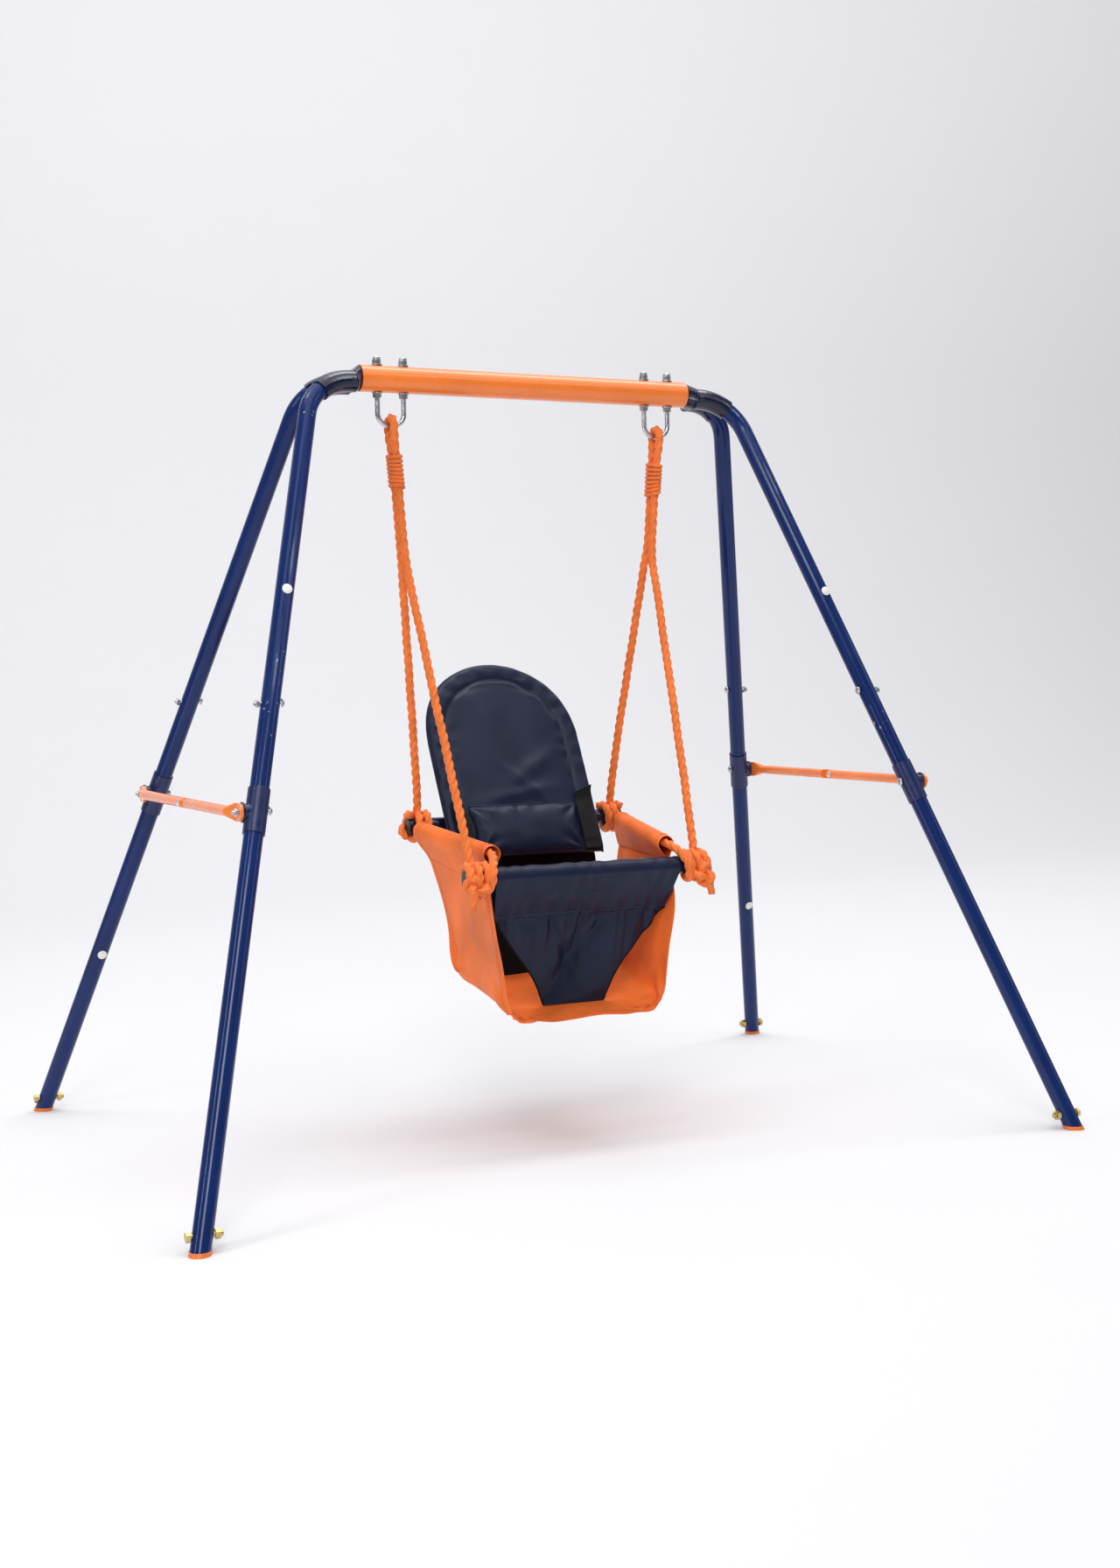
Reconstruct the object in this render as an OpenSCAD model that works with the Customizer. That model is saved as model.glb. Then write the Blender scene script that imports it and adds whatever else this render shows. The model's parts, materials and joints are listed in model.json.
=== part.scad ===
// Toddler A-frame swing set: tubular frame with folding rear legs, and a fabric bucket seat on ropes.
// Millimetres, +Z up, X along the crossbar, front of the seat towards -Y, origin on the ground under the bar.

/* [Frame] */
// Height of the crossbar's axis above the ground
bar_height = 1200; // [1190:1:1210]
// Half the length of the orange crossbar sleeve
bar_half = 289; // [287:1:292]
// Outer diameter of the crossbar sleeve
bar_d = 42; // [42:0.5:44]
// Outer diameter of the leg tubes
leg_d = 28; // [27:0.5:28]
// Sideways distance of a foot from the middle
foot_x = 711.5; // [690:1:730]
// Front or back distance of a foot from the middle
foot_y = 488; // [480:1:500]
// Centreline radius of the bend at the top of each leg
bend_r = 80; // [78:1:82]
// Height of the joint between upper and lower leg
splice_z = 676; // [660:1:690]
// Height of the folding side braces
brace_z = 550; // [540:1:560]

/* [Seat] */
// Sideways distance of each hanging point from the middle
hang_x = 237; // [235:1:239]
// Height of the U-bolt rod that a rope hangs on
hang_z = 1128; // [1126:1:1130]
// Diameter of the rope
rope_d = 14; // [13:0.5:14]
// Diameter of the seat's front and rear bars
seat_bar_d = 26; // [25:0.5:26]
// Thickness of the padded backrest
back_t = 18; // [16:1:19]
// Half the width of the backrest
back_half = 137; // [130:1:140]

/* [Hidden] */
$fn = 48;
left = -1;
right = 1;
front = -1;
rear = 1;
skip = 0.2;                 // clearance between parts that are bolted or slid together
wall = 1.5;

// Leg geometry. Each leg lies in a plane that holds its stub's axis and splays forwards or backwards.
leg_r = leg_d / 2;
leg_gap = 31;               // between the stubs' axes, along Y
stub_z = bar_height - 8;
stub_x = 299;               // inner end of the stubs
rivet_x = stub_x + 9;
pin_x = stub_x - 4.5;
splay = atan((foot_y - leg_gap / 2) / stub_z);
corner_x = 371.6;           // where the straight leg meets the stub's axis
leg_drop = stub_z / cos(splay);
lean = atan(leg_drop / (foot_x - corner_x));
bend_t = bend_r * tan(lean / 2);
bend_x = corner_x - bend_t;
fold_max = 30.5;

// Frame hardware
bolt_r = 3;
hole_r = 3.2;
nut_af = 10;
head_r = 6.5;
splice_up = 24;             // bolt above the splice
neck_len = 62;
anchor_z = 23;
anchor_r = 4;
foot_plug_top = 14;         // inside the tube, below the anchor bolt
foot_h = 6;
ubolt_r = 4;
ubolt_half = 22;
screw_x = 199;
spigot_x = 190;
mouth_a = 40;               // how far round the bend the hood reaches
hood_r = leg_r + 2.9;

// Brace linkage, in a plane beside each leg
saddle_x = 19;              // leg axis to the saddle's flat face
plate_t = 3;
brace_in = saddle_x + plate_t + 0.3;
brace_r = 8;
tongue_t = 4;
lap = 26;                   // half-lap length each side of the middle rivet

// Seat
rope_r = rope_d / 2;
seat_bar_r = seat_bar_d / 2;
front_bar_y = -190;
front_bar_z = 427;
front_bar_half = 203;
rear_bar_y = 72;
rear_bar_z = 490;
rear_bar_half = 192;
recline = 27.4;
pad_gap = 2.8;
wrap_r = seat_bar_r + rope_r + 0.4;
wrap_pitch = rope_d + 0.4;
front_wrap_x = 181;
rear_wrap_x = 170;
sleeve_front = [152, -172, 462];
sleeve_rear = [183, 40, 485];
sleeve_r = 15;

// Right-hand rope, from the front knot over the U-bolt to the rear knot
ROPE = [
    [195, -186, 446], [197, -173, 485], [199, -159, 524], [202, -145, 563], [204, -130, 602],
    [206, -116, 641], [209, -101, 680], [211, -86, 720], [213, -71, 760], [215, -56, 800],
    [218, -41, 840], [220, -26, 880], [221, -13, 915], [223, -8, 950], [226, -7.4, 990],
    [229, -7.4, 1030], [232, -7.4, 1070], [234, -8.6, 1092], [236, -11.4, 1110],
    [237, -12.6, 1128], [237, -9, 1137], [237, 0, 1140.6], [237, 9, 1137], [237, 12.6, 1128],
    [236, 11.4, 1110], [234, 8.6, 1092], [232, 7.4, 1070], [229, 7.4, 1030], [226, 7.4, 990],
    [223, 8, 950], [218, 14, 910], [214, 20, 870], [209, 26, 830], [205, 32, 790], [200, 38, 750],
    [196, 44, 710], [191, 50, 670], [187, 56, 630], [183, 61, 590], [179, 66, 550], [177, 71, 512]
];

// Right-hand rope inside the sling's side sleeve, from the rear wraps to the front ones
SLEEVE_ROPE = [
    [182, 50, 488], [176, 5, 481], [168, -50, 475], [160, -110, 469], [154, -160, 464],
    [156, -182, 459], [163, -200, 449], [169, -212, 433], [172, -210, 416], [176, -201, 408]
];

function unit(v) = v / norm(v);
function step(p, i) = unit(p[i + 1] - p[i]);
function tangent(p, i) =
    i == 0 ? step(p, 0)
    : i == len(p) - 1 ? step(p, i - 1)
    : unit(step(p, i) + step(p, i - 1));

// A leg's axis at height z, measured outwards and along Y
function leg_x(z) = foot_x - (foot_x - corner_x) * z / stub_z;
function leg_y(z) = foot_y - (foot_y - leg_gap / 2) * z / stub_z;
function along(z) = (stub_z - z) / cos(splay) / sin(lean);

module on_side(side) {
    mirror([side < 0 ? 1 : 0, 0, 0]) children();
}

// Origin on the stub's axis, X outwards, -Z down the leg's plane
module leg_plane(side, end) {
    on_side(side) translate([0, end * leg_gap / 2, stub_z]) rotate([end * splay, 0, 0]) children();
}

// Origin on the leg's axis at height z, Z up along the leg
module on_leg(side, end, z) {
    leg_plane(side, end) translate([corner_x + along(z) * cos(lean), 0, -along(z) * sin(lean)])
        rotate([0, lean - 90, 0]) children();
}

// Origin on the leg's axis at height z, axes as the row's
module at_leg(side, end, z) {
    on_side(side) translate([leg_x(z), end * leg_y(z), z]) children();
}

module rod_x(r, x0, x1) {
    translate([x0, 0, 0]) rotate([0, 90, 0]) cylinder(r = r, h = x1 - x0);
}

module rod_between(a, b, r) {
    d = b - a;
    translate(a) rotate([0, acos(d.z / norm(d)), atan2(d.y, d.x)]) cylinder(r = r, h = norm(d));
}

module ring_x(r_out, r_in, x0, x1) {
    difference() {
        rod_x(r_out, x0, x1);
        rod_x(r_in, x0 - 1, x1 + 1);
    }
}

// Points of a leg's axis in its plane: along the stub from x0, then round the bend to angle a1
function bend_points(x0, a1, steps) = concat(
    [[x0, 0, 0]],
    [for (i = [0 : steps])
        [bend_x + bend_r * sin(a1 * i / steps), 0, -bend_r * (1 - cos(a1 * i / steps))]]
);

// Round bar that follows a leg in its plane, from x0 on the stub to length end_l past the corner
module leg_path(r, x0, end_l, sides = 24, steps = 12) {
    sweep(concat(bend_points(x0, lean, steps), [[corner_x + end_l * cos(lean), 0, -end_l * sin(lean)]]),
        r, sides, [0, 1, 0]);
}

// Tube of rings that follows a list of points in a plane that ref is square to
module sweep(points, r, sides = 8, ref = [1, 0, 0]) {
    n = len(points);
    rings = [
        for (i = [0 : n - 1])
            let (t = tangent(points, i), a = unit(cross(t, ref)), b = cross(t, a))
            for (k = [0 : sides - 1])
                points[i] + r * (a * cos(360 * k / sides) + b * sin(360 * k / sides))
    ];
    walls = [
        for (i = [0 : n - 2])
            for (k = [0 : sides - 1])
                let (next = (k + 1) % sides)
                [(i + 1) * sides + k, (i + 1) * sides + next, i * sides + next, i * sides + k]
    ];
    first = [for (k = [0 : sides - 1]) k];
    last = [for (k = [sides - 1 : -1 : 0]) (n - 1) * sides + k];
    polyhedron(rings, concat([first], walls, [last]));
}

// Bolt along X with a domed head at x0 and its thread's end at x1
module dome_bolt(x0, x1) {
    rod_x(bolt_r, x0, x1);
    translate([x0, 0, 0]) rotate([0, -90, 0]) intersection() {
        translate([0, 0, -4]) sphere(8);
        cylinder(r = head_r, h = 5);
    }
}

module hex_nut(x0, h, af, bore_r) {
    difference() {
        translate([x0, 0, 0]) rotate([0, 90, 0]) cylinder(d = af / cos(30), h = h, $fn = 6);
        rod_x(bore_r, x0 - 1, x0 + h + 1);
    }
}

// ---- Crossbar and its hardware ----

module ubolt_holes(r) {
    for (x = [hang_x - ubolt_half, hang_x + ubolt_half])
        for (side = [left, right])
            translate([side * x, 0, bar_height - bar_d]) cylinder(r = r, h = 2 * bar_d);
}

module screw_path(side, r, h) {
    translate([side * screw_x, 0, bar_height]) rotate([-50, 0, 0]) cylinder(r = r, h = h);
}

module crossbar_sleeve() {
    color("darkorange") difference() {
        translate([0, 0, bar_height]) ring_x(bar_d / 2, bar_d / 2 - 1.8, -bar_half, bar_half);
        ubolt_holes(ubolt_r + 0.3);
        for (side = [left, right]) screw_path(side, 2.6, bar_d);
    }
}

module hood_block() {
    hull() {
        translate([0, 0, bar_height]) rod_x(bar_d / 2 - 2, bar_half + 1, bar_half + 3, $fn = 32);
        for (end = [front, rear])
            translate([0, end * leg_gap / 2, stub_z + 1]) rod_x(hood_r, stub_x + 3, stub_x + 5, $fn = 32);
    }
}

module hood_bend(end) {
    translate([0, end * leg_gap / 2, stub_z]) rotate([end * splay, 0, 0]) {
        sweep(bend_points(stub_x + 2, mouth_a, 6), hood_r, 24, [0, 1, 0]);
    }
}

// Everything that the rear leg sweeps while it folds
module fold_space() {
    translate([0, leg_gap / 2, stub_z]) for (i = [0 : 3])
        rotate([splay - fold_max * i / 3, 0, 0]) leg_path(leg_r + 1, stub_x - 0.5, bend_t + 20, 20, 8);
}

module elbow(side) {
    color([0.05, 0.07, 0.18]) on_side(side) difference() {
        union() {
            translate([0, 0, bar_height]) rod_x(bar_d / 2 - 2, spigot_x, bar_half + 2);
            hood_block();
            for (end = [front, rear]) hood_bend(end);
        }
        translate([0, 0, bar_height]) rod_x(bar_d / 2 - 4, spigot_x - 1, bar_half - 8);
        translate([0, -leg_gap / 2, stub_z]) rotate([-splay, 0, 0])
            leg_path(leg_r + 0.3, stub_x - 0.3, bend_t + 20);
        fold_space();
        ubolt_holes(ubolt_r + 0.3);
        screw_path(right, 2.6, bar_d);
        translate([0, leg_gap / 2, stub_z]) rod_x(4.1, pin_x - 0.5, stub_x + 1);
        translate([rivet_x, 0, stub_z]) rotate([90, 0, 0]) cylinder(r = 2.6, h = 60);
    }
}

module sleeve_screws() {
    color("silver") for (side = [left, right]) {
        screw_path(side, 2.4, bar_d / 2 + 0.2);
        translate([side * screw_x, 0, bar_height]) rotate([-50, 0, 0])
            translate([0, 0, bar_d / 2 + 0.2]) cylinder(r = 4.6, h = 3.2);
    }
}

module elbow_rivets() {
    color("silver") for (side = [left, right]) on_side(side)
        translate([rivet_x, -8, stub_z]) rotate([90, 0, 0]) {
            cylinder(r = 2.5, h = 25.5);
            translate([0, 0, 25]) intersection() {
                translate([0, 0, -3.5]) sphere(6);
                cylinder(r = 4.5, h = 4);
            }
        }
}

module leg_pivot_pins() {
    color("silver") for (side = [left, right]) on_side(side)
        translate([0, leg_gap / 2, stub_z]) rod_x(4, pin_x, stub_x + 12);
}

module ubolt(side) {
    arc_r = ubolt_half - 3;
    color("silver") translate([side * hang_x, 0, hang_z]) {
        rod_x(ubolt_r, arc_r - ubolt_half, ubolt_half - arc_r);
        for (e = [left, right]) translate([e * (ubolt_half - arc_r), 0, arc_r]) {
            rotate([90, 0, 0]) rotate([0, 0, e == left ? 180 : 270]) rotate_extrude(angle = 90)
                translate([arc_r, 0]) circle(ubolt_r);
            translate([e * arc_r, 0, 0])
                cylinder(r = ubolt_r, h = bar_height + bar_d / 2 + 13 - hang_z - arc_r);
        }
    }
}

module ubolt_nut(z, up, domed) {
    nut_h = 6.5;
    washer_t = 1.6;
    translate([0, 0, z]) mirror([0, 0, up ? 0 : 1]) difference() {
        union() {
            cylinder(r = 8.5, h = washer_t);
            translate([0, 0, washer_t]) cylinder(d = 13 / cos(30), h = nut_h, $fn = 6);
            if (domed) translate([0, 0, washer_t + nut_h - 1]) intersection() {
                cylinder(r = 6.2, h = 9);
                sphere(8);
            }
        }
        translate([0, 0, -1]) cylinder(r = ubolt_r + 0.1, h = 15.2);
    }
}

module ubolt_nuts() {
    color("silver") for (side = [left, right])
        for (x = [hang_x - ubolt_half, hang_x + ubolt_half])
            translate([side * x, 0, 0]) {
                ubolt_nut(bar_height + bar_d / 2 + 0.1, true, true);
                ubolt_nut(bar_height - bar_d / 2 - 0.1, false, false);
            }
}

// ---- Legs ----

module upper_leg(side, end) {
    splice_l = along(splice_z);
    color("royalblue") difference() {
        leg_plane(side, end) leg_path(leg_r, stub_x, splice_l);
        leg_plane(side, end) leg_path(leg_r - wall, stub_x + 5, splice_l + 1);
        leg_plane(side, end) rod_x(4.05, stub_x - 1, stub_x + 7);
        if (end == front) on_side(side) translate([rivet_x, -leg_gap / 2, stub_z]) rotate([90, 0, 0])
            cylinder(r = 2.6, h = 30);
        at_leg(side, end, splice_z + splice_up) rod_x(hole_r, -30, 30);
        if (end == front) on_leg(side, end, plug_z(end)) rotate([90, 0, 0]) cylinder(r = 4.2, h = 30);
    }
}

module lower_leg(side, end) {
    leg_l = along(splice_z);
    color("royalblue") difference() {
        union() {
            leg_plane(side, end) translate([corner_x, 0, 0]) rotate([0, 90 + lean, 0])
                translate([0, 0, leg_l]) cylinder(r = leg_r, h = 800);
            leg_plane(side, end) translate([corner_x, 0, 0]) rotate([0, 90 + lean, 0])
                translate([0, 0, leg_l - neck_len]) cylinder(r = leg_r - wall - skip, h = neck_len + 1);
        }
        leg_plane(side, end) translate([corner_x, 0, 0]) rotate([0, 90 + lean, 0])
            translate([0, 0, leg_l - neck_len - 1]) cylinder(r = leg_r - 2 * wall - skip, h = 900);
        translate([-1000, -1000, foot_h - 1000]) cube([2000, 2000, 1000]);
        at_leg(side, end, splice_z + splice_up) rod_x(hole_r, -30, 30);
        at_leg(side, end, brace_z) rod_x(hole_r, -30, 30);
        at_leg(side, end, anchor_z) rod_x(anchor_r + 0.2, -40, 40);
        if (end == rear) on_leg(side, end, plug_z(end)) rotate([90, 0, 0]) cylinder(r = 4.2, h = 30);
    }
}

function plug_z(end) = end == front ? 860 : 283;

module foot_plug(side, end) {
    module length_of_leg(r, top) {
        intersection() {
            on_leg(side, end, 0) translate([0, 0, -60]) cylinder(r = r, h = 120);
            translate([-1000, -1000, 0]) cube([2000, 2000, top]);
        }
    }
    color("darkorange") union() {
        length_of_leg(leg_r + 0.8, foot_h);
        length_of_leg(leg_r - 2 * wall - 2 * skip, foot_plug_top);
    }
}

module hole_plug(side, end) {
    color("white") on_leg(side, end, plug_z(end)) rotate([90, 0, 0]) {
        translate([0, 0, leg_r - 5]) cylinder(r = 4, h = 5);
        translate([0, 0, leg_r + 0.2]) difference() {
            intersection() {
                cylinder(r = 7.5, h = 4);
                translate([0, 0, -14]) sphere(17);
            }
            translate([0, 0, 5]) sphere(3);
        }
        translate([0, 0, leg_r - 0.1]) cylinder(r = 3.9, h = 0.5);
    }
}

module leg_bolts(side, end) {
    color("silver") {
        at_leg(side, end, splice_z + splice_up) {
            dome_bolt(-leg_r - 3, leg_r + 11);
            hex_nut(leg_r + 3, 5, nut_af, bolt_r + 0.05);
        }
        at_leg(side, end, brace_z) {
            dome_bolt(-leg_r - 5, end == front ? brace_in + tongue_t + 9 : saddle_x + plate_t);
            if (end == front) hex_nut(brace_in + tongue_t + 0.3, 5, nut_af, bolt_r + 0.05);
        }
    }
}

module saddle(side, end) {
    color([0.1, 0.14, 0.35]) difference() {
        union() {
            on_leg(side, end, brace_z) translate([0, 0, -34]) cylinder(r = leg_r + 2, h = 68);
            at_leg(side, end, brace_z) rod_x(12.5, 0, saddle_x);
        }
        on_leg(side, end, brace_z) translate([0, 0, -60]) cylinder(r = leg_r + 0.1, h = 120);
        at_leg(side, end, brace_z) rod_x(hole_r, -30, 30);
    }
}

module saddle_plate(side, end) {
    color([0.2, 0.2, 0.22]) difference() {
        at_leg(side, end, brace_z)
            hull() for (z = [-5, 5]) translate([0, 0, z]) rod_x(9.5, saddle_x, saddle_x + plate_t);
        at_leg(side, end, brace_z) rod_x(bolt_r + 0.1, saddle_x - 1, saddle_x + plate_t + 1);
        on_leg(side, end, brace_z) translate([0, 0, -50]) cylinder(r = leg_r + 2.1, h = 100);
    }
}

module anchor_bolt(side, end) {
    color("goldenrod") at_leg(side, end, anchor_z) {
        rod_x(anchor_r, -leg_r - 13, leg_r + 3);
        translate([leg_r + 3, 0, 0]) rotate([0, 90, 0]) cylinder(d = 13 / cos(30), h = 5.3, $fn = 6);
        hex_nut(-leg_r - 9, 6.5, 13, anchor_r + 0.05);
    }
}

// ---- Folding side braces ----

brace_half = leg_y(brace_z);

// Half a brace from its outer pivot at y = 0 to the middle rivet at y = length, in the YZ plane at x = 0
module brace_link(length, inner) {
    middle = brace_r + brace_in;
    side_x = inner ? [-brace_r, -0.15] : [0.15, brace_r];
    difference() {
        union() {
            translate([middle, 34, 0]) rotate([-90, 0, 0]) cylinder(r = brace_r, h = length - lap - 34);
            hull() {
                translate([middle, 36, 0]) rotate([-90, 0, 0]) cylinder(r = brace_r, h = 2, $fn = 32);
                translate([brace_in, 10, -13]) cube([tongue_t, 6, 26]);
            }
            translate([brace_in, 0, -13]) cube([tongue_t, 14, 26]);
            rod_x(13, brace_in, brace_in + tongue_t);
            intersection() {
                translate([middle, length - lap - 1, 0]) rotate([-90, 0, 0])
                    cylinder(r = brace_r, h = lap + brace_r + 2);
                translate([middle + side_x[0], length - lap - 2, -brace_r])
                    cube([side_x[1] - side_x[0], lap + 2, 2 * brace_r]);
            }
            intersection() {
                translate([0, length, 0]) rod_x(brace_r, middle + side_x[0], middle + side_x[1]);
                translate([middle, length - 10, 0]) rotate([-90, 0, 0]) cylinder(r = brace_r, h = 30);
            }
        }
        rod_x(hole_r, brace_in - 1, brace_in + tongue_t + 1);
        translate([0, length, 0]) rod_x(hole_r, brace_in - 5, middle + brace_r + 5);
        translate([middle, 42, 0]) rotate([-90, 0, 0]) cylinder(r = brace_r - 1.4, h = length - 2 * lap - 42);
    }
}

module brace_front(side) {
    color("darkorange") at_leg(side, front, brace_z) brace_link(brace_half, true);
}

module brace_rear(side) {
    color("darkorange") at_leg(side, rear, brace_z) mirror([0, 1, 0]) brace_link(brace_half, false);
}

module brace_rivet(side) {
    middle = brace_r + brace_in;
    color("ivory") on_side(side) translate([leg_x(brace_z), 0, brace_z]) {
        rod_x(bolt_r, middle - brace_r - 0.3, middle + brace_r + 0.3);
        for (s = [0, 1]) translate([middle, 0, 0]) mirror([s, 0, 0]) translate([brace_r + 0.3, 0, 0])
            rotate([0, 90, 0]) intersection() {
                cylinder(r = 5.5, h = 3);
                translate([0, 0, -4]) sphere(7);
            }
    }
}

// Nut on the brace's rear end. The pivot is open here: the bolt stops flush with the saddle plate.
module brace_end_nut(side) {
    color("silver") at_leg(side, rear, brace_z) {
        rod_x(bolt_r, brace_in, brace_in + tongue_t + 9);
        hex_nut(brace_in + tongue_t + 0.3, 5, nut_af, bolt_r + 0.05);
    }
}

// ---- Seat bars ----

module seat_tube(y, z, half) {
    translate([0, y, z]) ring_x(seat_bar_r, seat_bar_r - wall, -half, half);
}

module front_bar() {
    color([0.06, 0.07, 0.18]) seat_tube(front_bar_y, front_bar_z, front_bar_half);
}

module rear_bar() {
    color([0.06, 0.07, 0.18]) seat_tube(rear_bar_y, rear_bar_z, rear_bar_half);
}

module bar_end_caps() {
    module cap(side, y, z, half) {
        on_side(side) translate([0, y, z]) {
            rod_x(seat_bar_r, half + 0.1, half + 3);
            rod_x(seat_bar_r - wall - 0.1, half - 15, half + 1);
        }
    }
    color([0.1, 0.1, 0.12]) for (side = [left, right]) {
        cap(side, front_bar_y, front_bar_z, front_bar_half);
        cap(side, rear_bar_y, rear_bar_z, rear_bar_half);
    }
}

// ---- Fabric seat ----

// Outer half-section of the sling at its front and rear edges: distance out, height above its floor
sling_front = [
    [0, 0], [60, 0], [118, 1], [134, 10], [141, 30], [147, 105], [158, 165], [160, 205], [152, 250]
];
sling_rear = [
    [0, 0], [60, 0], [118, 1], [134, 10], [142, 28], [149, 95], [160, 150], [172, 195], [183, 228]
];
sling_front_z = 198;
sling_rear_z = 242;
cloth = 4;

function sling_in(p, i) = i < 3 ? [p[i].x, p[i].y + cloth] : [p[i].x - cloth, p[i].y + (i < 5 ? 2 : 0)];
function sling_y(i, back) = back ? 8 + (i > 4 ? 8 * (i - 4) : 0) : -190 + (i > 6 ? 9 * (i - 6) : 0);

// One row of points round the sling, from the left rim to the right rim
function sling_row(p, z, back, inner) = [
    for (i = [-len(p) + 1 : len(p) - 1])
        let (k = abs(i), q = inner ? sling_in(p, k) : p[k])
        [sign(i) * q.x, sling_y(k, back), z + q.y]
];

module sling_cloth() {
    rows = [
        sling_row(sling_front, sling_front_z, false, false), sling_row(sling_rear, sling_rear_z, true, false),
        sling_row(sling_rear, sling_rear_z, true, true), sling_row(sling_front, sling_front_z, false, true)
    ];
    n = len(rows[0]);
    shell = [
        for (r = [0 : 3])
            for (i = [0 : n - 2])
                let (next = (r + 1) % 4)
                [r * n + i, r * n + i + 1, next * n + i + 1, next * n + i]
    ];
    rims = [[3 * n, 2 * n, n, 0], [n - 1, 2 * n - 1, 3 * n - 1, 4 * n - 1]];
    polyhedron(concat(rows[0], rows[1], rows[2], rows[3]), concat(shell, rims));
}

module side_sling() {
    color("orange") difference() {
        union() {
            sling_cloth();
            for (side = [left, right]) on_side(side) rod_between(sleeve_front, sleeve_rear, sleeve_r);
        }
        for (side = [left, right]) on_side(side)
            rod_between(sleeve_front - 0.01 * (sleeve_rear - sleeve_front),
                sleeve_rear + 0.01 * (sleeve_rear - sleeve_front), sleeve_r - 2.5);
    }
}

panel_outline = [
    [150, 0], [153.5, 40], [149.5, 72], [130, 100], [109, 128], [76, 163], [62, 195], [54, 215]
];

module front_panel() {
    hem_r = seat_bar_r + 2.5;
    color([0.16, 0.18, 0.28]) translate([0, front_bar_y, front_bar_z]) difference() {
        union() {
            rod_x(hem_r, -panel_outline[0].x, panel_outline[0].x);
            translate([0, -hem_r + 3, 0]) rotate([-90 + 17, 0, 0]) linear_extrude(3) polygon(concat(
                    [for (p = panel_outline) [p.x, p.y]],
                    [for (i = [len(panel_outline) - 1 : -1 : 0]) [-panel_outline[i].x, panel_outline[i].y]]
                ));
        }
        rod_x(seat_bar_r + 0.2, -200, 200);
    }
}

// Origin on the backrest's middle plane beside the rear bar, Z up the backrest, -Y its front
module back_plane() {
    translate([0, rear_bar_y, rear_bar_z]) rotate([-recline, 0, 0])
        translate([0, -(seat_bar_r + pad_gap + back_t / 2), 0]) children();
}

module back_outline(half, t, low, top) {
    rotate([90, 0, 0]) translate([0, 0, -t / 2]) linear_extrude(t) union() {
        translate([0, top - half]) circle(half);
        translate([-half, low]) square([2 * half, top - half - low]);
    }
}

module backrest_pad() {
    color([0.14, 0.15, 0.21]) back_plane() difference() {
        back_outline(back_half, back_t, -76, 280);
        back_outline(back_half - 12, 5.4, -60, 268);
    }
}

module backrest_board() {
    color("tan") back_plane() back_outline(back_half - 12.4, 5, -59.6, 267.6);
}

module lumbar_pad() {
    color([0.14, 0.15, 0.21]) back_plane() translate([-94, -back_t / 2 - 14.4, -72]) cube([188, 14, 84]);
}

module seat_back_panel() {
    color([0.05, 0.05, 0.06]) translate([0, 10, 252]) rotate([-9.5, 0, 0]) rotate([90, 0, 0])
        translate([0, 0, -1.5]) linear_extrude(3)
        polygon([[-104, 0], [104, 0], [130, 40], [132, 205], [-132, 205], [-130, 40]]);
}

module webbing_straps() {
    strap_x = 112;
    strap_w = 27;
    color([0.06, 0.06, 0.06]) for (side = [left, right]) on_side(side) {
        translate([0, rear_bar_y, rear_bar_z])
            ring_x(seat_bar_r + 2.4, seat_bar_r + 0.2, strap_x - strap_w / 2, strap_x + strap_w / 2);
        back_plane() translate([strap_x - strap_w / 2, -back_t / 2 - 2.4, -74]) cube([strap_w, 2, 108]);
    }
}

// ---- Ropes ----

module rope(side) {
    color("coral") on_side(side) sweep(ROPE, rope_r);
}

// Two round ends joined by a block, round both strands of a rope
module oval(r, h) {
    for (y = [-7.3, 7.3]) translate([0, y, 0]) cylinder(r = r, h = h);
    translate([-r, -7.3, 0]) cube([2 * r, 14.6, h]);
}

module rope_seizings() {
    color("coral") for (side = [left, right]) on_side(side) for (z = [1042, 1056, 1070])
        translate([229 + (z - 1030) * 0.075, 0, z]) difference() {
            oval(rope_r + 3.5, 12);
            translate([0, 0, -1]) oval(rope_r + 0.8, 14);
        }
}

module wraps(y, z, x0, knot) {
    for (side = [left, right]) on_side(side) union() {
        for (i = [0, 1]) translate([x0 + i * wrap_pitch, y, z]) rotate([0, 90, 0])
            rotate_extrude() translate([wrap_r, 0]) circle(rope_r);
        translate([x0 + wrap_pitch / 2, y, z])
            ring_x(wrap_r + 2, seat_bar_r + 0.6, -wrap_pitch / 2, wrap_pitch / 2);
        translate(knot) sphere(13);
    }
}

module front_knots() {
    color("coral") wraps(front_bar_y, front_bar_z, front_wrap_x, [196, -214, 412]);
}

module rear_knots() {
    color("coral") wraps(rear_bar_y, rear_bar_z, rear_wrap_x, [186, 96, 478]);
}

module sleeve_ropes() {
    color("coral") for (side = [left, right]) on_side(side) sweep(SLEEVE_ROPE, rope_r);
}

// ---- Nodes ----

crossbar_sleeve();
elbow(left);  // elbow_left
elbow(right);  // elbow_right
sleeve_screws();
elbow_rivets();
leg_pivot_pins();
ubolt(left);  // ubolt_left
ubolt(right);  // ubolt_right
ubolt_nuts();
upper_leg(left, front);  // upper_leg_front_left
upper_leg(right, front);  // upper_leg_front_right
lower_leg(left, front);  // lower_leg_front_left
lower_leg(right, front);  // lower_leg_front_right
for (side = [left, right]) foot_plug(side, front);  // foot_plugs_front
for (side = [left, right]) hole_plug(side, front);  // hole_plugs_front
for (side = [left, right]) leg_bolts(side, front);  // leg_bolts_front
for (side = [left, right]) saddle(side, front);  // brace_saddles_front
for (side = [left, right]) saddle_plate(side, front);  // saddle_plates_front
for (side = [left, right]) anchor_bolt(side, front);  // anchor_bolts_front
upper_leg(left, rear);  // upper_leg_rear_left
lower_leg(left, rear);  // lower_leg_rear_left
foot_plug(left, rear);  // foot_plug_rear_left
hole_plug(left, rear);  // hole_plug_rear_left
leg_bolts(left, rear);  // leg_bolts_rear_left
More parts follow.
